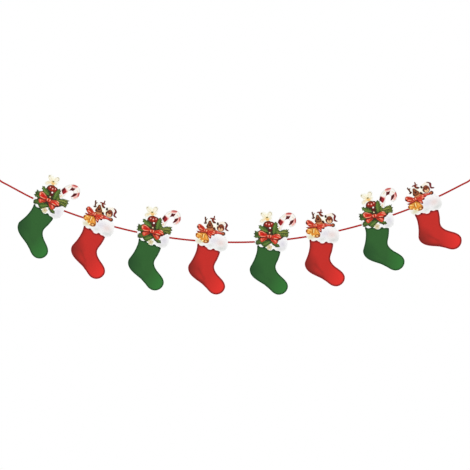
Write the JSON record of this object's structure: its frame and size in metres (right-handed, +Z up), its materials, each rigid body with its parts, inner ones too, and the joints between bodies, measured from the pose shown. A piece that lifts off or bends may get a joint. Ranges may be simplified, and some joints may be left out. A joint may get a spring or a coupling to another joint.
{
  "type": "paper stocking garland",
  "caption": "Die-cut printed card stockings, green and red in turn, hung along a red cord that ends in a knotted hanging loop at each side.",
  "frame": {"origin": "where a hook holds the left hanging loop: the inside of the loop's far end", "axes": "+X along the garland from the left hook to the right one, +Y away from the viewer, towards the wall, +Z up. The printed side faces -Y."},
  "size_m": [1.0253, 0.009, 0.2545],
  "materials": {
    "green_card": "satin",
    "red_card": "satin",
    "paper_patch": "matte",
    "red_cord": "matte"
  },
  "bodies": {
    "root": {"stocking_card_1": "green_card", "stocking_card_2": "red_card", "stocking_card_3": "green_card", "stocking_card_4": "red_card", "stocking_card_5": "green_card", "stocking_card_6": "red_card", "stocking_card_7": "green_card", "stocking_card_8": "red_card", "back_patch_1": "paper_patch", "back_patch_2": "paper_patch", "back_patch_3": "paper_patch", "back_patch_4": "paper_patch", "back_patch_5": "paper_patch", "back_patch_6": "paper_patch", "back_patch_7": "paper_patch", "back_patch_8": "paper_patch", "cord": "red_cord", "left_knot": "red_cord", "right_knot": "red_cord"}
  },
  "joints": []
}
